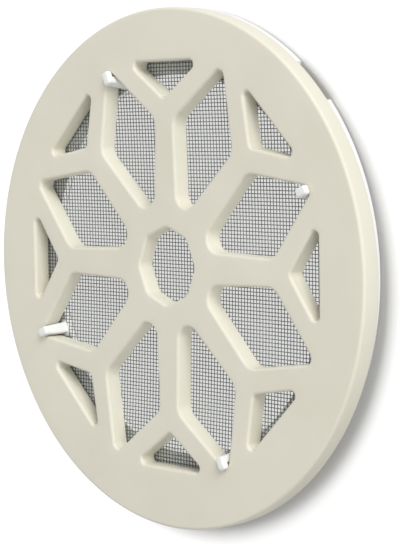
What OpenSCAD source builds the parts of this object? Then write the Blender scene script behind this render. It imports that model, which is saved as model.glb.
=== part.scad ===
// Round vent grille: a pierced ceramic face plate, an insect screen behind it,
// and a plastic back frame whose four snap hooks hold the plate from behind.
// Front of the grille faces -Y, up is +Z, and the back of the frame is at Y = 0.

/* [Face plate] */
// Diameter of the ceramic plate
plate_d = 200; // [190:1:230]
// Thickness of the ceramic plate at its rim
plate_t = 8; // [6:0.5:12]
// Radius of the softened edge round the front of the rim
rim_front_r = 1.2; // [0.8:0.1:3]
// Radius of the softened edge round the back of the rim
rim_back_r = 1; // [0.5:0.1:1.5]
// Depth of the shallow seat in the back of the plate
seat_depth = 1.2; // [0.8:0.1:2]
// Diameter of that seat
seat_d = 178; // [175:1:185]
// Softening of the front edge of every opening
mouth_r = 1.2; // [0.6:0.1:1.6]

/* [Snowflake pattern] */
// Height of the pattern's centre above the plate's centre
pattern_raise = 1.5; // [0:0.5:3]
// Distance from the centre to a corner of the eight-sided opening
octagon_r = 16.5; // [13:0.5:17]
// Rounding of its corners
octagon_round = 5.5; // [3:0.5:7]
// Distance from the centre to the inner corner of a kite, before rounding
kite_inner = 14.5; // [14:0.5:18]
// Distance from the centre to the widest place of a kite
kite_mid = 54; // [50:1:56]
// Half the width of a kite there
kite_half = 18; // [15:0.5:18.5]
// Distance from the centre to the outer corner of a kite, before rounding
kite_outer = 84.6; // [80:0.2:85]
// Rounding of the inner corner of a kite
kite_inner_round = 6.5; // [5:0.5:8]
// Rounding of its side corners
kite_side_round = 7.5; // [5:0.5:9]
// Rounding of its outer corner
kite_outer_round = 3.7; // [3.7:0.1:4.5]
// Distance from the centre to the inner corner of a triangle, before rounding
tri_inner = 62.8; // [62:0.2:66]
// Distance from the centre to the outer side of a triangle
tri_outer = 79.5; // [76:0.5:80]
// Half the length of that outer side, before rounding
tri_half = 23.6; // [19:0.2:24]
// Rounding of the inner corner of a triangle
tri_inner_round = 3.5; // [2:0.5:5]
// Rounding of its outer corners
tri_outer_round = 3; // [2:0.5:4]

/* [Insect screen] */
// Room between the screen's edge and the wall of the seat
screen_edge_room = 2.5; // [2:0.1:3.5]
// Thickness of the screen's sheet
screen_sheet = 0.2; // [0.15:0.05:0.3]
// Height of the upright ridges on its front and the level ridges on its back
screen_ridge = 0.15; // [0.1:0.05:0.2]
// Spacing of the ridges, both ways
ridge_pitch = 12.2; // [12:0.1:14]
// Width of a ridge
ridge_w = 2.5; // [2:0.1:3.5]
// Room between the screen and each hook
screen_room = 0.4; // [0.3:0.1:0.8]

/* [Back frame] */
// Outer diameter of the frame ring
frame_d = 197; // [186:1:197]
// Inner diameter of the frame ring
frame_bore = 147; // [144:1:149]
// Thickness of the frame ring
frame_t = 2.5; // [2:0.1:5]
// Softening of the ring's edges
frame_edge = 0.5; // [0.3:0.1:0.8]
// Width of a notch at the outer edge of the ring
notch_outer_w = 21; // [14:1:26]
// Width of a notch at its inner end
notch_inner_w = 5; // [4:0.5:9]
// Distance from the centre to the inner end of a notch
notch_reach = 80.5; // [79:0.5:90]

/* [Snap hooks] */
// Room between a hook and the wall of its opening
hook_room = 0.2; // [0.15:0.05:0.4]
// Half the width of a hook at its root, as a share of the opening's corner radius
root_share = 0.9; // [0.8:0.02:0.92]
// Half the width of its head, as a share of the same radius
head_share = 0.7; // [0.6:0.02:0.76]
// Thickness of a hook at its root, from the centre outwards
root_depth = 3.4; // [2.6:0.1:3.6]
// Thickness of a hook just behind its head
neck_depth = 3; // [2.2:0.1:3.2]
// Height of the hook heads in front of the plate
head_h = 2.4; // [1.8:0.1:4]
// How far the nose of a head reaches out over the face of the plate
nose_reach = 2.3; // [1.5:0.1:3.5]
// Rounding of the nose
nose_r = 1.1; // [0.8:0.1:1.2]
// Rounding of the head's other edges
head_round = 0.8; // [0.5:0.1:1]
// Gap between a head and the face of the plate
head_gap = 0.15; // [0.05:0.05:0.3]

/* [Hidden] */

// Colours of the three pieces
ceramic_colour = [0.84, 0.83, 0.77];
screen_colour = [0.16, 0.17, 0.17];
plastic_colour = [0.95, 0.95, 0.94];

// The pattern has eight-fold symmetry, and the hooks and notches have four-fold
spokes = 8;
spoke_step = 360 / spokes;
quarter = 90;

// Heights above the back of the frame
plate_back = frame_t;
plate_front = plate_back + plate_t;

// Corners of the openings as [x, y, rounding], anticlockwise, on the axis of one spoke
octagon_corners = [for (i = [0:spokes - 1])
    [octagon_r * cos(i * spoke_step), octagon_r * sin(i * spoke_step), octagon_round]];
kite_corners = [
    [kite_inner, 0, kite_inner_round],
    [kite_mid, -kite_half, kite_side_round],
    [kite_outer, 0, kite_outer_round],
    [kite_mid, kite_half, kite_side_round]];
tri_corners = [
    [tri_inner, 0, tri_inner_round],
    [tri_outer, -tri_half, tri_outer_round],
    [tri_outer, tri_half, tri_outer_round]];

// A hook stands in the rounded outer corner of a kite, on that corner's own axis
kite_tip_half_angle = atan(kite_half / (kite_outer - kite_mid));
hook_radius = kite_outer - kite_outer_round / sin(kite_tip_half_angle);
corner_wall_r = kite_outer_round - mouth_r;
root_half_w = corner_wall_r * root_share;
head_half_w = corner_wall_r * head_share;

// How far out a hook of a given half width may stand in that corner
function hook_outside(half_w) = sqrt(max(pow(corner_wall_r - hook_room, 2) - pow(half_w, 2), 0));

root_out = hook_outside(root_half_w);
neck_out = hook_outside(head_half_w);
head_under = plate_front + head_gap;
head_top = head_under + head_h;

// The screen lies in the seat and ends short of its wall
screen_d = seat_d - 2 * screen_edge_room;

// Smoothness of the curves
ring_fn = 180;
arc_step = 22.5;
edge_steps = 4;
nose_steps = 5;
mouth_steps = 3;
// How far a cutter runs past a face
past = 1;
// How far a hook is rooted in the ring, and a ridge in the sheet
root = 0.5;
ridge_root = screen_sheet / 4;
// How far a gap runs under the ridges beside it, and the plain border round the ridges
gap_lap = 0.15;
ridge_margin = 3;

function unit(v) = v / norm(v);
function on_circle(r, a) = r * [cos(a), sin(a)];
function xy(c) = [c[0], c[1]];

// Angle of the outward normal of the side that runs from p to q
function side_normal(p, q) = atan2(p[0] - q[0], q[1] - p[1]);

// Points of a convex outline with rounded corners, moved inwards by inset
function rounded_outline(corners, inset) = [
    for (i = [0:len(corners) - 1])
        let (
            n = len(corners),
            here = xy(corners[i]),
            before = xy(corners[(i + n - 1) % n]),
            after = xy(corners[(i + 1) % n]),
            to_before = unit(before - here),
            to_after = unit(after - here),
            half = acos(to_before * to_after) / 2,
            centre = here + unit(to_before + to_after) * corners[i][2] / sin(half),
            start = side_normal(before, here),
            turn = 180 - 2 * half,
            steps = ceil(turn / arc_step))
        for (k = [0:steps])
            centre + on_circle(corners[i][2] - inset, start + turn * k / steps)];

// Solid through a stack of levels, each [height, inset], from the lowest up
module outline_loft(corners, levels) {
    rings = [for (level = levels) rounded_outline(corners, level[1])];
    n = len(rings[0]);
    last = len(levels) - 1;
    points = [for (j = [0:last]) for (p = rings[j]) [p[0], p[1], levels[j][0]]];
    sides = [for (j = [0:last - 1]) for (i = [0:n - 1])
        [j * n + i, (j + 1) * n + i, (j + 1) * n + (i + 1) % n, j * n + (i + 1) % n]];
    floor_face = [for (i = [0:n - 1]) i];
    roof_face = [for (i = [n - 1:-1:0]) last * n + i];
    polyhedron(points = points, faces = concat(sides, [floor_face, roof_face]));
}

// Opening through the plate: straight walls, and an edge softened in a quarter round.
// The last level carries the slope of the softened edge on, clear of the face.
module opening(corners) {
    first_a = 90 / mouth_steps;
    mouth = [for (k = [mouth_steps:-1:1])
        let (a = k * first_a)
        [plate_front - mouth_r * (1 - cos(a)), mouth_r * sin(a)]];
    clear = [plate_front + mouth_r * (1 - cos(first_a)), -mouth_r * sin(first_a)];
    outline_loft(corners, concat([[plate_back - past, mouth_r]], mouth, [clear]));
}

// Profile of a turned disc from its axis, with softened back and front edges
function disc_profile(r, h, back_r, front_r) = concat(
    [[0, 0]],
    [for (k = [0:edge_steps]) [r - back_r, back_r] + on_circle(back_r, -90 + 90 * k / edge_steps)],
    [for (k = [0:edge_steps]) [r - front_r, h - front_r] + on_circle(front_r, 90 * k / edge_steps)],
    [[0, h]]);

module at_pattern_centre() {
    translate([0, pattern_raise, 0]) children();
}

module round_pattern(count, first) {
    for (i = [0:count - 1]) rotate(first + i * 360 / count) children();
}

module face_plate() {
    color(ceramic_colour) rotate([90, 0, 0]) difference() {
        translate([0, 0, plate_back]) rotate_extrude($fn = ring_fn)
            polygon(disc_profile(plate_d / 2, plate_t, rim_back_r, rim_front_r));
        at_pattern_centre() {
            translate([0, 0, plate_back - past])
                cylinder(h = seat_depth + past, d = seat_d, $fn = ring_fn);
            opening(octagon_corners);
            round_pattern(spokes, spoke_step / 2) opening(kite_corners);
            round_pattern(spokes, 0) opening(tri_corners);
        }
    }
}

// Places of the ridges on one side of the centre line, and of the gaps between them
ridge_count = floor(screen_d / 2 / ridge_pitch - 0.5);
gap_w = ridge_pitch - ridge_w + 2 * gap_lap;
gap_field_r = frame_bore / 2 - ridge_w;
gap_rows = floor(gap_field_r / ridge_pitch);
gap_places = [for (i = [-gap_rows - 1:gap_rows]) for (j = [-gap_rows - 1:gap_rows])
    let (p = [(i + 0.5) * ridge_pitch, (j + 0.5) * ridge_pitch])
    if (norm(p) < gap_field_r) p];

// Upright bars, each as long as the round sheet allows inside its plain border
module ridges() {
    field_r = screen_d / 2 - ridge_margin;
    for (i = [-ridge_count:ridge_count]) {
        reach = abs(i) * ridge_pitch + ridge_w / 2;
        half_length = sqrt(max(pow(field_r, 2) - pow(reach, 2), 0));
        if (half_length > ridge_w)
            translate([i * ridge_pitch - ridge_w / 2, -half_length, 0])
                cube([ridge_w, 2 * half_length, screen_ridge + ridge_root]);
    }
}

module insect_screen() {
    color(screen_colour) rotate([90, 0, 0]) at_pattern_centre()
        translate([0, 0, frame_t]) difference() {
            union() {
                translate([0, 0, screen_ridge]) linear_extrude(screen_sheet) difference() {
                    circle(d = screen_d, $fn = ring_fn);
                    for (p = gap_places) translate(p) square(gap_w, center = true);
                }
                rotate(quarter) ridges();
                translate([0, 0, screen_ridge + screen_sheet - ridge_root]) ridges();
            }
            round_pattern(4, spoke_step / 2)
                translate([hook_radius + root_out - root_depth - screen_room, -root_half_w - screen_room, -past])
                cube([root_depth + neck_out - root_out + 2 * screen_room,
                    2 * (root_half_w + screen_room), seat_depth + 2 * past]);
        }
}

// Tapered notch from the outer edge of the ring inwards
module notch() {
    beyond = frame_d / 2 + past;
    translate([0, 0, -past]) linear_extrude(frame_t + 2 * past) polygon([
        [notch_reach, -notch_inner_w / 2], [beyond, -notch_outer_w / 2],
        [beyond, notch_outer_w / 2], [notch_reach, notch_inner_w / 2]]);
}

// Points of an arc, from one angle to another
function arc(centre, r, from, to) = [for (k = [0:nose_steps]) centre + on_circle(r, from + (to - from) * k / nose_steps)];

// Side view of a hook as [distance out from hook_radius, height]: a finger that leans outwards,
// and a head whose rounded nose lies over the face of the plate
hook_side = concat(
    [[root_out - root_depth, frame_t - root], [root_out, frame_t - root], [neck_out, head_under]],
    arc([neck_out + nose_reach - nose_r / 2, head_under + nose_r / 2], nose_r / 2, -90, 0),
    arc([neck_out + nose_reach - nose_r, head_top - nose_r], nose_r, 0, 90),
    arc([neck_out - neck_depth + head_round, head_top - head_round], head_round, 90, 180),
    [[neck_out - neck_depth, head_under]]);

// Front view of a hook as [distance to one side, height]: tapered, with a rounded top
hook_front = concat(
    [[-root_half_w, frame_t - root], [root_half_w, frame_t - root], [head_half_w, head_under]],
    arc([head_half_w - head_round, head_top - head_round], head_round, 0, 90),
    arc([head_round - head_half_w, head_top - head_round], head_round, 90, 180),
    [[-head_half_w, head_under]]);

module snap_hook() {
    translate([hook_radius, 0, 0]) intersection() {
        rotate([90, 0, 0]) linear_extrude(4 * root_half_w, center = true) polygon(hook_side);
        rotate([90, 0, 90]) linear_extrude(8 * root_depth, center = true) polygon(hook_front);
    }
}

module frame_ring() {
    difference() {
        rotate_extrude($fn = ring_fn) difference() {
            polygon(disc_profile(frame_d / 2, frame_t, frame_edge, frame_edge));
            translate([0, -past]) square([frame_bore / 2, frame_t + 2 * past]);
        }
        round_pattern(4, spoke_step) notch();
    }
}

module back_frame() {
    color(plastic_colour) rotate([90, 0, 0]) at_pattern_centre() {
        frame_ring();
        round_pattern(4, spoke_step / 2) snap_hook();
    }
}

face_plate();
insect_screen();
back_frame();
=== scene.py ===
"""Looks of a round ceramic vent grille: glazed plate, woven insect screen, moulded back frame.

Metres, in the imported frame: the face looks towards -Y, up is +Z, and the wall is the plane Y = 0.
"""

import math

import bmesh
import bpy
from mathutils import Matrix, Vector
from mathutils.geometry import delaunay_2d_cdt


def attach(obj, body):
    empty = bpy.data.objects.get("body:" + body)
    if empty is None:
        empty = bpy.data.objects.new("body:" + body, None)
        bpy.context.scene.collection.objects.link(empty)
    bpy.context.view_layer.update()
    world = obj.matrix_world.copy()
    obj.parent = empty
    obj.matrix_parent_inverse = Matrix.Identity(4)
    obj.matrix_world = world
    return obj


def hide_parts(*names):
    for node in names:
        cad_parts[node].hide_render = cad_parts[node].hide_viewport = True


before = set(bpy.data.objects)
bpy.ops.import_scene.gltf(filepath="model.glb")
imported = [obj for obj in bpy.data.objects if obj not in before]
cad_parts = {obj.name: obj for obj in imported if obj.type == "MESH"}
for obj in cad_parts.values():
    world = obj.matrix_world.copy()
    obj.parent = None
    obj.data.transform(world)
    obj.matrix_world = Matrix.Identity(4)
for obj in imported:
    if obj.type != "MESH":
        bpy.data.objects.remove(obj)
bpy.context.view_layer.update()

# Sizes of the pieces, in mm. Those of the plate, the frame and the hooks are the part's own, to
# 0.01 mm. Heights are measured from the wall towards the room.
MM = 0.001

FRAME_R, FRAME_BORE_R, FRAME_T, FRAME_EDGE = 98.5, 73.5, 2.5, 0.5
NOTCH_OUTER_W, NOTCH_INNER_W, NOTCH_REACH, NOTCH_PAST_RIM = 21.0, 5.0, 80.5, 1.0

PLATE_R, PLATE_T = 100.0, 8.0
PLATE_BACK, PLATE_FRONT = FRAME_T, FRAME_T + PLATE_T
RIM_FRONT_R, RIM_BACK_R = 1.2, 1.0
SEAT_R, SEAT_DEPTH = 89.0, 1.2
SEAT_FLOOR = PLATE_BACK + SEAT_DEPTH
MOUTH_R = 1.2

# The pattern's centre lies above the plate's. The corners of an opening are x, y and radius, on a
# spoke that points to the right.
PATTERN_RAISE = 1.5
OCTAGON_R, OCTAGON_ROUND = 16.5, 5.5
OCTAGON = [(OCTAGON_R * math.cos(math.radians(45 * k)), OCTAGON_R * math.sin(math.radians(45 * k)),
            OCTAGON_ROUND) for k in range(8)]
KITE_SIDE_X, KITE_SIDE_Y, KITE_SIDE_ROUND = 54.0, 18.0, 7.5
KITE_TIP_X, KITE_TIP_ROUND = 84.6, 3.7
KITE = [(14.5, 0.0, 6.5), (KITE_SIDE_X, -KITE_SIDE_Y, KITE_SIDE_ROUND),
        (KITE_TIP_X, 0.0, KITE_TIP_ROUND), (KITE_SIDE_X, KITE_SIDE_Y, KITE_SIDE_ROUND)]
TRIANGLE = [(62.8, 0.0, 3.5), (79.5, -23.6, 3.0), (79.5, 23.6, 3.0)]
OPENINGS = ([(OCTAGON, 0.0)] + [(KITE, 22.5 + 45 * k) for k in range(8)]
            + [(TRIANGLE, 45.0 * k) for k in range(8)])

# Woven screen. Its middle lies WEAVE_LIFT above the frame, its wires swing to both sides of that
# by WEAVE_SWING, and they keep HOOK_ROOM from a hook's root.
SCREEN_R, SCREEN_SAG = 86.5, 2.3
ROW_PITCH, COLUMN_PITCH = 1.411, 1.63
WIRE_R, WIRE_SIDES = 0.165, 6
WEAVE_LIFT, WEAVE_SWING = 0.32, 0.07
HOOK_ROOM = 0.4

# A hook stands in the round tip of every second kite. Root and neck are the inner end and the outer
# end along the spoke, from the middle of that tip, and half the width.
HOOK_ANGLES = [22.5 + 90 * k for k in range(4)]
HOOK_RADIUS = KITE_TIP_X - KITE_TIP_ROUND / math.sin(
    math.atan2(KITE_SIDE_Y, KITE_TIP_X - KITE_SIDE_X))
HOOK_ROOT = (-2.92, 0.48, 2.25)
HOOK_NECK = (-1.51, 1.49, 1.75)
HEAD_UNDER, HEAD_TOP = PLATE_FRONT + 0.15, PLATE_FRONT + 2.55
NOSE_REACH, NOSE_R, HEAD_ROUND = 2.3, 1.1, 0.8
NOSE_UNDER_R = NOSE_R / 2
FOOT_ROUND, STEM_ROUND, HEAD_CORNER_ROUND = 1.0, 0.7, 0.9
FOOT_FLARE = 0.3
STEM_LEVELS = [(FRAME_T + 0.1, 0.12), (FRAME_T + 0.35, 0.0), (FRAME_T + 3.0, 0.0),
               (FRAME_T + 6.0, 0.0), (HEAD_UNDER, 0.0)]  # height, flare

# Fineness of the meshes: points on a circle, steps of an arc, degrees between the points of an
# opening's corner, and mm between the inner points of the plate's face
RIM_COUNT, BORE_COUNT, STAGE_COUNT = 288, 180, 96
RIM_BACK_STEPS, RIM_FRONT_STEPS, MOUTH_STEPS, FRAME_EDGE_STEPS = 6, 10, 8, 4
RING_ARC_STEPS, HOOK_CORNER_STEPS = 48, 6
ARC_STEP = 6.0
FACE_GRID = 4.0


def rounded_outline(corners, inset):
    """Points of a convex outline with rounded corners, moved inwards by inset."""
    points = []
    n = len(corners)
    for i in range(n):
        here = Vector(corners[i][:2])
        to_before = (Vector(corners[i - 1][:2]) - here).normalized()
        to_after = (Vector(corners[(i + 1) % n][:2]) - here).normalized()
        half = math.acos(to_before.dot(to_after)) / 2
        radius = corners[i][2]
        centre = here + (to_before + to_after).normalized() * radius / math.sin(half)
        start = math.atan2(to_before.x, -to_before.y)
        turn = math.pi - 2 * half
        steps = max(2, math.ceil(math.degrees(turn) / ARC_STEP))
        for k in range(steps + 1):
            a = start + turn * k / steps
            points.append(centre + (radius - inset) * Vector((math.cos(a), math.sin(a))))
    return points


def turned(points, degrees):
    """The points, turned about the origin."""
    a = math.radians(degrees)
    return [Vector((p.x * math.cos(a) - p.y * math.sin(a), p.x * math.sin(a) + p.y * math.cos(a)))
            for p in points]


def circle_points(radius, count, centre_y=0.0):
    """Points of a circle about a centre on the y axis."""
    angles = [2 * math.pi * k / count for k in range(count)]
    return [Vector((radius * math.cos(a), centre_y + radius * math.sin(a))) for a in angles]


def opening_outline(corners, degrees, inset):
    """One opening of the pattern, in its place on the plate."""
    return [p + Vector((0, PATTERN_RAISE))
            for p in turned(rounded_outline(corners, inset), degrees)]


def edge_profile(low, high, low_round, high_round, low_steps, high_steps):
    """Inset and height of the points up an edge with a quarter round at its foot and its head."""
    foot = [(low_round, low + low_round, -90 + 90 * k / low_steps) for k in range(low_steps + 1)]
    head = [(high_round, high - high_round, 90 * k / high_steps) for k in range(high_steps + 1)]
    return [(radius - radius * math.cos(math.radians(a)),
             middle + radius * math.sin(math.radians(a))) for radius, middle, a in foot + head]


def drawn_in(distance, radius):
    """How far a quarter round draws a side in, at a distance from the face that it runs into."""
    share = max(0.0, 1 - distance / radius)
    return radius * (1 - math.sqrt(max(0.0, 1 - share ** 2)))


def place(x, y, height):
    """From the plate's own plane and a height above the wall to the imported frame."""
    return Vector((x * MM, -height * MM, y * MM))


def ring_of(bm, points, height):
    """New vertices for a closed outline at one height."""
    return [bm.verts.new(place(p.x, p.y, height)) for p in points]


def strip(bm, lower, upper):
    """Quads between two closed rings of vertices with the same count."""
    n = len(lower)
    for i in range(n):
        bm.faces.new((lower[i], lower[(i + 1) % n], upper[(i + 1) % n], upper[i]))


def in_scene(name, data):
    """A new object in the scene, for a mesh, a lamp or a camera."""
    made = bpy.data.objects.new(name, data)
    bpy.context.scene.collection.objects.link(made)
    return made


def finish_mesh(name, bm, smooth_angle):
    """The finished piece, with sharp edges where its faces meet at more than smooth_angle."""
    bmesh.ops.remove_doubles(bm, verts=bm.verts, dist=1e-7)
    bmesh.ops.recalc_face_normals(bm, faces=bm.faces)
    mesh = bpy.data.meshes.new(name)
    bm.to_mesh(mesh)
    bm.free()
    for polygon in mesh.polygons:
        polygon.use_smooth = True
    mesh.set_sharp_from_angle(angle=math.radians(smooth_angle))
    piece = in_scene(name, mesh)
    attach(piece, "root")
    return piece


def is_inside(p, outline):
    """Whether p lies in a closed outline, by the sides that a line from p to the right crosses."""
    inside = False
    for a, b in zip(outline, outline[1:] + outline[:1]):
        if (a.y > p.y) != (b.y > p.y) and p.x < a.x + (p.y - a.y) * (b.x - a.x) / (b.y - a.y):
            inside = not inside
    return inside


def is_solid(p, outlines):
    """Whether p lies in the first outline and in none of the others."""
    return is_inside(p, outlines[0]) and not any(is_inside(p, hole) for hole in outlines[1:])


def grid_points(outlines, spacing):
    """Points of a staggered grid in the solid region, each well clear of every outline."""
    row_height, clearance = 0.87 * spacing, 0.45 * spacing
    reach = max(p.length for p in outlines[0])
    count = int(reach / spacing) + 1
    points = []
    for i in range(-count, count + 1):
        for j in range(-count, count + 1):
            p = Vector(((i + 0.5 * (j % 2)) * spacing, j * row_height))
            if p.length <= reach and is_solid(p, outlines) and all(
                    (p - a).length_squared >= clearance ** 2 for line in outlines for a in line):
                points.append(p)
    return points


def flat_face_with_holes(bm, outer, holes, height, spacing=0.0):
    """Fills the flat region between one outer ring and the rings of its holes.

    The rings' own vertices are used again. With a spacing, inner points keep the triangles even.
    """
    loops = [outer] + holes
    ring_verts = [v for loop in loops for v in loop]
    outlines = [[Vector((v.co.x / MM, v.co.z / MM)) for v in loop] for loop in loops]
    coords = [p for line in outlines for p in line]
    edges = []
    for loop in loops:
        first = len(edges)
        edges += [(first + k, first + (k + 1) % len(loop)) for k in range(len(loop))]
    if spacing:
        coords += grid_points(outlines, spacing)
    out_coords, _, faces, origin, _, _ = delaunay_2d_cdt(coords, edges, [], 0, 1e-6)
    made = []
    for p, sources in zip(out_coords, origin):
        known = [ring_verts[s] for s in sources if s < len(ring_verts)]
        made.append(known[0] if known else bm.verts.new(place(p.x, p.y, height)))
    for face in faces:
        middle = sum((out_coords[k] for k in face), Vector((0, 0))) / len(face)
        corners = [made[k] for k in face]
        if is_solid(middle, outlines) and len(set(corners)) == len(corners):
            bm.faces.new(corners)


def plate_mesh():
    """The ceramic plate: turned rim, shallow seat in the back, and softened openings."""
    bm = bmesh.new()
    rim = edge_profile(PLATE_BACK, PLATE_FRONT, RIM_BACK_R, RIM_FRONT_R,
                       RIM_BACK_STEPS, RIM_FRONT_STEPS)
    rings = [ring_of(bm, circle_points(PLATE_R - inset, RIM_COUNT), height)
             for inset, height in rim]
    for lower, upper in zip(rings, rings[1:]):
        strip(bm, lower, upper)
    seat = circle_points(SEAT_R, RIM_COUNT, PATTERN_RAISE)
    seat_edge = ring_of(bm, seat, PLATE_BACK)
    seat_foot = ring_of(bm, seat, SEAT_FLOOR)
    strip(bm, seat_edge, seat_foot)
    front_holes, back_holes = [], []
    for corners, degrees in OPENINGS:
        levels = [ring_of(bm, opening_outline(corners, degrees, MOUTH_R), SEAT_FLOOR)]
        for k in range(MOUTH_STEPS + 1):
            a = math.radians(90 * k / MOUTH_STEPS)
            levels.append(ring_of(bm, opening_outline(corners, degrees, MOUTH_R * math.cos(a)),
                                  PLATE_FRONT - MOUTH_R + MOUTH_R * math.sin(a)))
        for lower, upper in zip(levels, levels[1:]):
            strip(bm, lower, upper)
        back_holes.append(levels[0])
        front_holes.append(levels[-1])
    flat_face_with_holes(bm, rings[-1], front_holes, PLATE_FRONT, FACE_GRID)
    flat_face_with_holes(bm, seat_foot, back_holes, SEAT_FLOOR)
    flat_face_with_holes(bm, rings[0], [seat_edge], PLATE_BACK)
    return finish_mesh("ceramic_plate", bm, smooth_angle=40.0)


def wire(bm, points):
    """A wire of the screen through points, closed at both ends."""
    rings = []
    n = len(points)
    for i, p in enumerate(points):
        along = (points[min(i + 1, n - 1)] - points[max(i - 1, 0)]).normalized()
        side = along.cross(Vector((0, 1, 0))).normalized()
        out = side.cross(along)
        rings.append([bm.verts.new(p + (side * q.x + out * q.y) * MM)
                      for q in circle_points(WIRE_R, WIRE_SIDES)])
    for lower, upper in zip(rings, rings[1:]):
        strip(bm, lower, upper)
    bm.faces.new(list(reversed(rings[0])))
    bm.faces.new(rings[-1])


def in_a_hook(p):
    """Whether a point of the pattern's plane lies in the root of a hook, or too close to it."""
    inner, outer, half_width = HOOK_ROOT
    for q in (turned([p], -angle)[0] for angle in HOOK_ANGLES):
        if (inner - HOOK_ROOM < q.x - HOOK_RADIUS < outer + HOOK_ROOM
                and abs(q.y) < half_width + HOOK_ROOM):
            return True
    return False


def screen_height(p):
    """Height of the weave's middle above the wall: flat on the frame, sagging inside its bore."""
    sag = max(0.0, 1 - (p.length / FRAME_BORE_R) ** 2) * SCREEN_SAG
    return FRAME_T + WEAVE_LIFT - sag


def weave_mesh(name, upright):
    """All wires of one direction, each over and under the wires that it crosses."""
    bm = bmesh.new()
    pitch, step = (COLUMN_PITCH, ROW_PITCH) if upright else (ROW_PITCH, COLUMN_PITCH)
    count = int(SCREEN_R / pitch)
    for i in range(-count, count + 1):
        across = i * pitch
        crossings = int(math.sqrt(SCREEN_R ** 2 - across ** 2) / step)
        runs = [[]]
        for j in range(-crossings, crossings + 1):
            along = j * step
            p = Vector((across, along)) if upright else Vector((along, across))
            if in_a_hook(p):
                runs.append([])
                continue
            over = (i + j) % 2 == (0 if upright else 1)
            height = screen_height(p) + (WEAVE_SWING if over else -WEAVE_SWING)
            runs[-1].append(place(p.x, p.y + PATTERN_RAISE, height))
        for run in runs:
            if len(run) > 1:
                wire(bm, run)
    return finish_mesh(name, bm, smooth_angle=80.0)


def notched_ring_outline(inset):
    """The frame ring's outer edge, moved inwards by inset: four notches and four arcs of rim."""
    outer_r, floor_r = FRAME_R - inset, NOTCH_REACH - inset
    slope = (NOTCH_OUTER_W - NOTCH_INNER_W) / 2 / (FRAME_R + NOTCH_PAST_RIM - NOTCH_REACH)
    shift = inset * math.sqrt(1 + slope ** 2)

    def half_width(r):
        return NOTCH_INNER_W / 2 + (r - NOTCH_REACH) * slope + shift

    # Each round brings the notch's mouth closer to the rim, and 20 are more than enough.
    mouth_r = outer_r
    for _ in range(20):
        mouth_r = math.sqrt(outer_r ** 2 - half_width(mouth_r) ** 2)
    half_angle = math.asin(half_width(mouth_r) / outer_r)
    sweep = math.pi / 2 - 2 * half_angle
    outline = []
    for k in range(4):
        middle = math.radians(45 + 90 * k)
        axis = Vector((math.cos(middle), math.sin(middle)))
        side = Vector((-axis.y, axis.x))
        for r, hand in ((mouth_r, -1), (floor_r, -1), (floor_r, 1), (mouth_r, 1)):
            outline.append(axis * r + side * hand * half_width(r))
        for j in range(1, RING_ARC_STEPS):
            a = middle + half_angle + sweep * j / RING_ARC_STEPS
            outline.append(outer_r * Vector((math.cos(a), math.sin(a))))
    return [p + Vector((0, PATTERN_RAISE)) for p in outline]


def hook_outline(inner, outer, half_width, radius, degrees):
    """A level cut through a hook: a rounded rectangle, from inner to outer along its spoke."""
    radius = min(radius, half_width * 0.98, (outer - inner) * 0.49)
    corners = [(outer - radius, half_width - radius), (inner + radius, half_width - radius),
               (inner + radius, radius - half_width), (outer - radius, radius - half_width)]
    points = []
    for k, (x, y) in enumerate(corners):
        for j in range(HOOK_CORNER_STEPS + 1):
            a = math.radians(90 * k + 90 * j / HOOK_CORNER_STEPS)
            points.append(Vector((HOOK_RADIUS + x + radius * math.cos(a),
                                  y + radius * math.sin(a))))
    return [p + Vector((0, PATTERN_RAISE)) for p in turned(points, degrees)]


def hook_mesh(bm, foot, degrees):
    """A finger that leans outwards through the plate, with a rounded nose over the plate's face."""
    last = foot
    for height, flare in STEM_LEVELS:
        t = (height - FRAME_T) / (HEAD_UNDER - FRAME_T)
        inner, outer, half_width = [a + (b - a) * t for a, b in zip(HOOK_ROOT, HOOK_NECK)]
        ring = ring_of(bm, hook_outline(inner - flare, outer + flare, half_width + flare,
                                        STEM_ROUND, degrees), height)
        strip(bm, last, ring)
        last = ring
    inner, outer, half_width = HOOK_NECK
    heights = [HEAD_UNDER + NOSE_UNDER_R * (1 - math.cos(math.radians(a)))
               for a in range(0, 91, 30)]
    heights += [HEAD_TOP - NOSE_R * (1 - math.sin(math.radians(a))) for a in range(0, 91, 15)]
    for height in heights:
        reach = (outer + NOSE_REACH - drawn_in(height - HEAD_UNDER, NOSE_UNDER_R)
                 - drawn_in(HEAD_TOP - height, NOSE_R))
        sides = drawn_in(HEAD_TOP - height, HEAD_ROUND)
        ring = ring_of(bm, hook_outline(inner + sides, reach, half_width - sides,
                                        HEAD_CORNER_ROUND, degrees), height)
        strip(bm, last, ring)
        last = ring
    bm.faces.new(last)


def frame_mesh():
    """One moulding: the notched ring and its four snap hooks."""
    bm = bmesh.new()
    edge = edge_profile(0.0, FRAME_T, FRAME_EDGE, FRAME_EDGE, FRAME_EDGE_STEPS, FRAME_EDGE_STEPS)
    outer = [ring_of(bm, notched_ring_outline(inset), height) for inset, height in edge]
    bore = circle_points(FRAME_BORE_R, BORE_COUNT, PATTERN_RAISE)
    bore_back, bore_front = ring_of(bm, bore, 0), ring_of(bm, bore, FRAME_T)
    for lower, upper in zip(outer, outer[1:]):
        strip(bm, lower, upper)
    strip(bm, bore_front, bore_back)
    flat_face_with_holes(bm, outer[0], [bore_back], 0)
    inner_end, outer_end, half_width = HOOK_ROOT
    feet = []
    for degrees in HOOK_ANGLES:
        foot = hook_outline(inner_end - FOOT_FLARE, outer_end + FOOT_FLARE,
                            half_width + FOOT_FLARE, FOOT_ROUND, degrees)
        feet.append(ring_of(bm, foot, FRAME_T))
        hook_mesh(bm, feet[-1], degrees)
    flat_face_with_holes(bm, outer[-1], [bore_front] + feet, FRAME_T)
    return finish_mesh("back_moulding", bm, smooth_angle=50.0)


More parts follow.
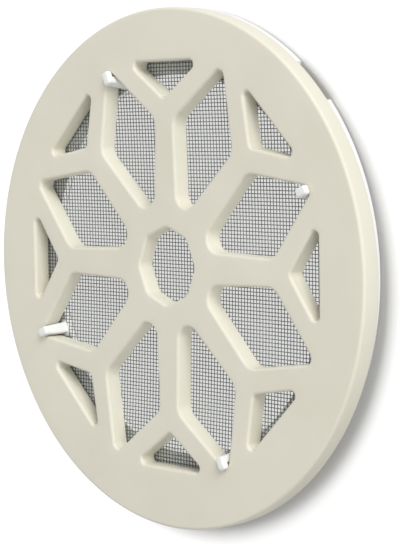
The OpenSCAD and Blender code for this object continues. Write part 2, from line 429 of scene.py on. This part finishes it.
class Shade:
    """A socket whose operators add Math nodes, so that masks are written as expressions."""

    def __init__(self, sheet, socket):
        self.sheet, self.socket = sheet, socket

    def _math(self, operation, *values):
        return self.sheet.node("ShaderNodeMath", {"operation": operation}, dict(enumerate(values)))

    def __add__(self, other):
        return self._math("ADD", self, other)

    def __radd__(self, other):
        return self._math("ADD", other, self)

    def __sub__(self, other):
        return self._math("SUBTRACT", self, other)

    def __rsub__(self, other):
        return self._math("SUBTRACT", other, self)

    def __mul__(self, other):
        return self._math("MULTIPLY", self, other)

    def __rmul__(self, other):
        return self._math("MULTIPLY", other, self)


class NodeSheet:
    """The node tree of a material or the world. Every node in it comes from the method node."""

    def __init__(self, tree, output):
        self.tree = tree
        self.tree.nodes.clear()
        self.out = self.tree.nodes.new(output)

    def node(self, kind, settings=None, inputs=None, output=0):
        """Adds a node with its settings and the values or links of its sockets."""
        made = self.tree.nodes.new(kind)
        for key, value in (settings or {}).items():
            if key == "stops":
                for element, (at, colour) in zip(made.color_ramp.elements, value):
                    element.position = at
                    element.color = (*colour, 1.0)
            else:
                setattr(made, key, value)
        for key, value in (inputs or {}).items():
            if isinstance(value, Shade):
                self.tree.links.new(value.socket, made.inputs[key])
            else:
                made.inputs[key].default_value = value
        return Shade(self, made.outputs[output])

    def noise(self, scale, detail=2.0, roughness=0.5):
        """Cloudy noise, with scale lumps to the metre."""
        where = self.node("ShaderNodeTexCoord", output="Object")
        return self.node("ShaderNodeTexNoise", {"noise_dimensions": "3D"},
                         {"Vector": where, "Scale": scale, "Detail": detail,
                          "Roughness": roughness})

    def two_tone(self, mask, *stops):
        """A colour between two, by a mask. Each stop is a value of the mask and its colour."""
        return self.node("ShaderNodeValToRGB", {"stops": stops}, {0: mask})

    def bump(self, height, strength, distance):
        """An uneven skin, from a height of 0 to 1 and its depth in metres."""
        return self.node("ShaderNodeBump", {},
                         {"Strength": strength, "Distance": distance, "Height": height})

    def mixed(self, mask, first, second):
        """The first shader where the mask is 0 and the second where it is 1."""
        return self.node("ShaderNodeMixShader", {}, {0: mask, 1: first, 2: second})

    def shows(self, shade):
        """Makes a shader the one that the tree gives out."""
        self.tree.links.new(shade.socket, self.out.inputs["Surface"])


class Finish(NodeSheet):
    """One material."""

    def __init__(self, name):
        self.material = bpy.data.materials.new(name)
        self.material.use_nodes = True
        super().__init__(self.material.node_tree, "ShaderNodeOutputMaterial")

    def surface(self, **inputs):
        """The finished material, from the sockets of its main shader."""
        self.shows(self.node("ShaderNodeBsdfPrincipled", {},
                             {key.replace("_", " "): value for key, value in inputs.items()}))
        return self.material


def ceramic_glaze():
    """Warm grey-beige satin glaze: faint clouds, a few fine specks, and a slightly uneven skin."""
    f = Finish("satin_beige_glaze")
    body = f.two_tone(f.noise(28.0, detail=3.0, roughness=0.55),
                      (0.3, (0.700, 0.676, 0.566)), (0.7, (0.738, 0.714, 0.606)))
    specks = f.node("ShaderNodeMapRange", {"clamp": True},
                    {"Value": f.noise(1900.0, detail=1.0), "From Min": 0.70, "From Max": 0.80,
                     "To Min": 0.0, "To Max": 0.35})
    speck_brown = (0.50, 0.46, 0.37, 1.0)
    colour = f.node("ShaderNodeMix", {"data_type": "RGBA"}, {0: specks, 6: body, 7: speck_brown},
                    output=2)  # sockets 6 and 7 are the two colours, and output 2 is their mix
    waves = f.noise(42.0, detail=1.0, roughness=0.4)
    skin = f.noise(420.0)
    return f.surface(Base_Color=colour, Roughness=0.50 + f.noise(90.0) * 0.12,
                     Normal=f.bump(waves * 0.8 + skin * 0.06, strength=0.25, distance=0.0006),
                     Coat_Weight=0.04, Coat_Roughness=0.3, IOR=1.42)


def screen_yarn():
    """Dark grey coated yarn."""
    f = Finish("charcoal_coated_yarn")
    wear = f.noise(260.0)
    colour = f.two_tone(wear, (0.3, (0.110, 0.124, 0.106)), (0.75, (0.168, 0.183, 0.160)))
    return f.surface(Base_Color=colour, Roughness=0.5 + wear * 0.15,
                     Normal=f.bump(f.noise(2600.0), strength=0.3, distance=0.0001))


def moulded_white():
    """White moulded plastic with a fine even skin."""
    f = Finish("white_moulded_plastic")
    colour = f.two_tone(f.noise(35.0), (0.3, (0.79, 0.795, 0.785)), (0.7, (0.83, 0.832, 0.82)))
    skin = f.noise(1500.0)
    return f.surface(Base_Color=colour, Roughness=0.28 + skin * 0.12,
                     Normal=f.bump(skin, strength=0.12, distance=0.0001), IOR=1.49)


def direct_rays(sheet):
    """One for what is seen, mirrored or seen through something, and zero for diffuse light."""
    kinds = [sheet.node("ShaderNodeLightPath", output=kind)
             for kind in ("Is Camera Ray", "Is Glossy Ray", "Is Transmission Ray")]
    return kinds[0] + kinds[1] + kinds[2]


def facing_only(finish, front, share=1.0):
    """Shows a shader on the front of a surface to a share of the rays, and lets the rest through.

    So a view from behind the wall sees the grille's back.
    """
    clear = finish.node("ShaderNodeBsdfTransparent", {}, {"Color": (1.0, 1.0, 1.0, 1.0)})
    behind = finish.node("ShaderNodeNewGeometry", output="Backfacing")
    finish.shows(finish.mixed(share * (1.0 - behind), clear, front))
    return finish.material


def wall_paint():
    """Matt white wall, seen and mirrored, that throws no diffuse light back on the grille."""
    f = Finish("studio_wall_white")
    matt = f.node("ShaderNodeBsdfDiffuse", {}, {"Color": (0.70, 0.70, 0.70, 1.0)})
    return facing_only(f, matt, direct_rays(f))


def backing_glow(level_as_light, seen_level_painted_shade):
    """Even white glow behind the screen, a light on the yarn, and a little darker to the eye as
    painted shade of the backdrop behind the plate.
    """
    f = Finish("studio_backing_white")
    light, painted_shade_look = [f.node("ShaderNodeEmission", {}, {"Color": (1.0, 1.0, 1.0, 1.0),
                                                     "Strength": level})
                   for level in (level_as_light, seen_level_painted_shade)]
    return facing_only(f, f.mixed(direct_rays(f), light, painted_shade_look))


def floor_paint():
    """Pale grey floor with faint clouds."""
    f = Finish("studio_floor_white")
    colour = f.two_tone(f.noise(3.0), (0.2, (0.86, 0.86, 0.86)), (0.8, (0.89, 0.89, 0.89)))
    return f.surface(Base_Color=colour, Roughness=0.9)


plate = plate_mesh()
plate.data.materials.append(ceramic_glaze())
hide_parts("face_plate")

yarn = screen_yarn()
screen_rows = weave_mesh("screen_rows", False)
screen_columns = weave_mesh("screen_columns", True)
for wires in (screen_rows, screen_columns):
    wires.data.materials.append(yarn)
    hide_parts("insect_screen")

moulding = frame_mesh()
moulding.data.materials.append(moulded_white())
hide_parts("back_frame")

# The stage, in metres: a wall with a hole as wide as the frame's bore, a glowing disc in that hole
# that lights the grille from behind and shows through the screen, dimmed as painted shade, and a
# floor
WALL_HALF, WALL_Y = 1.6, 0.0004
HOLE_R = FRAME_BORE_R * MM
FLOOR_Z, FLOOR_HALF = -1.6, 6.0


def stage_piece(name, bm, paint):
    """A stage surface whose front looks into the room."""
    mesh = bpy.data.meshes.new(name)
    bm.to_mesh(mesh)
    bm.free()
    if mesh.polygons[0].normal.y > 0:
        mesh.flip_normals()
    mesh.materials.append(paint)
    return in_scene(name, mesh)


def hole_ring(bm):
    """The round edge that the wall and the disc share."""
    return [bm.verts.new((p.x, WALL_Y, p.y))
            for p in circle_points(HOLE_R, STAGE_COUNT, PATTERN_RAISE * MM)]


def wall_with_hole():
    """A square wall behind the grille, open behind its frame."""
    bm = bmesh.new()
    inner = hole_ring(bm)
    outer = []
    for p in circle_points(1.0, STAGE_COUNT):
        to_square = WALL_HALF / max(abs(p.x), abs(p.y))
        outer.append(bm.verts.new((to_square * p.x, WALL_Y, to_square * p.y)))
    strip(bm, inner, outer)
    return stage_piece("studio_wall", bm, wall_paint())


def backing_disc():
    """The glowing disc that shows through the screen, darker to the eye as painted shade."""
    bm = bmesh.new()
    bm.faces.new(hole_ring(bm))
    # The glow lights the grille at 1.35; seen at 0.75, it is painted shade of the backdrop behind
    # the plate.
    paint = backing_glow(level_as_light=1.35, seen_level_painted_shade=0.75)
    return stage_piece("studio_backing", bm, paint)


def floor_sheet():
    """A plain floor below the wall."""
    bm = bmesh.new()
    bm.faces.new([bm.verts.new((x * FLOOR_HALF, y * FLOOR_HALF, FLOOR_Z))
                  for x, y in ((-1, -1), (1, -1), (1, 1), (-1, 1))])
    return stage_piece("studio_floor", bm, floor_paint())


def soft_lamp(name, direction, distance, size, level, receivers):
    """A square soft box for some pieces alone.

    A surface of theirs that faces it gets the stated share of full light.
    """
    towards = Vector(direction).normalized()
    lamp = bpy.data.lights.new(name, "AREA")
    lamp.shape = "SQUARE"
    lamp.size = size
    lamp.energy = level * (math.pi * distance) ** 2
    holder = in_scene(name, lamp)
    holder.location = towards * distance
    holder.rotation_euler = towards.to_track_quat("Z", "Y").to_euler()
    lit = bpy.data.collections.new(name + "_lights")
    for piece in receivers:
        lit.objects.link(piece)
    holder.light_linking.receiver_collection = lit


wall = wall_with_hole()
backing = backing_disc()
floor = floor_sheet()

# Each lamp's direction from the grille, its distance and width in metres, its share of full
# light, and what it lights
pieces = [plate, screen_rows, screen_columns, moulding]
soft_lamp("upper_right_softbox", (0.66, -0.40, 0.62), 4.0, 2.0, 0.69, pieces)
soft_lamp("lower_right_softbox", (0.75, -0.60, -0.25), 4.0, 2.0, 0.17, pieces)
soft_lamp("wall_upper_left_softbox", (-0.31, -1.0, 0.28), 1.6, 1.0, 1.12, [wall])
soft_lamp("wall_front_softbox", (0.0, -1.0, 0.1), 1.6, 0.8, 0.06, [wall])

# The world lights the pieces at a plain level and is white to the eye.
WORLD_AS_LIGHT, WORLD_AS_SEEN = 0.62, 1.0
world = bpy.data.worlds.new("studio_world")
bpy.context.scene.world = world
world.use_nodes = True
sky = NodeSheet(world.node_tree, "ShaderNodeOutputWorld")
sky_light, sky_look = [sky.node("ShaderNodeBackground", {}, {"Color": (1.0, 1.0, 1.0, 1.0),
                                                             "Strength": level})
                       for level in (WORLD_AS_LIGHT, WORLD_AS_SEEN)]
sky.shows(sky.mixed(direct_rays(sky), sky_light, sky_look))

# Camera fitted to the photograph, 45.7 degrees round to the right and 4.8 degrees up. It stands
# these distances in mm, along its own axes, from the pattern's centre on the plate's face.
AZIMUTH, ELEVATION, ROLL = math.radians(45.717), math.radians(4.754), math.radians(-0.945)
DISTANCE, SIDE, RISE = 726.435, 13.071, -2.484
IMAGE_HEIGHT_PX, FOCAL_PX = 546, 1896.95
SENSOR_HEIGHT = 24.0
face_centre = Vector((0, -PLATE_FRONT, PATTERN_RAISE))
back = Vector((math.sin(AZIMUTH) * math.cos(ELEVATION), -math.cos(AZIMUTH) * math.cos(ELEVATION),
               math.sin(ELEVATION)))
right = Vector((math.cos(AZIMUTH), math.sin(AZIMUTH), 0))
up = back.cross(right)
side_axis = right * math.cos(ROLL) + up * math.sin(ROLL)
rise_axis = up * math.cos(ROLL) - right * math.sin(ROLL)
camera_data = bpy.data.cameras.new("photo_camera")
camera_data.sensor_fit = "VERTICAL"
camera_data.sensor_height = SENSOR_HEIGHT
camera_data.lens = SENSOR_HEIGHT * FOCAL_PX / IMAGE_HEIGHT_PX
camera_data.clip_start = 0.01
camera = in_scene("photo_camera", camera_data)
stand = (face_centre + back * DISTANCE + side_axis * SIDE + rise_axis * RISE) * MM
camera.matrix_world = (Matrix.Translation(stand)
                       @ Matrix((side_axis, rise_axis, back)).transposed().to_4x4())
bpy.context.scene.camera = camera

bpy.context.scene.view_settings.view_transform = "Standard"
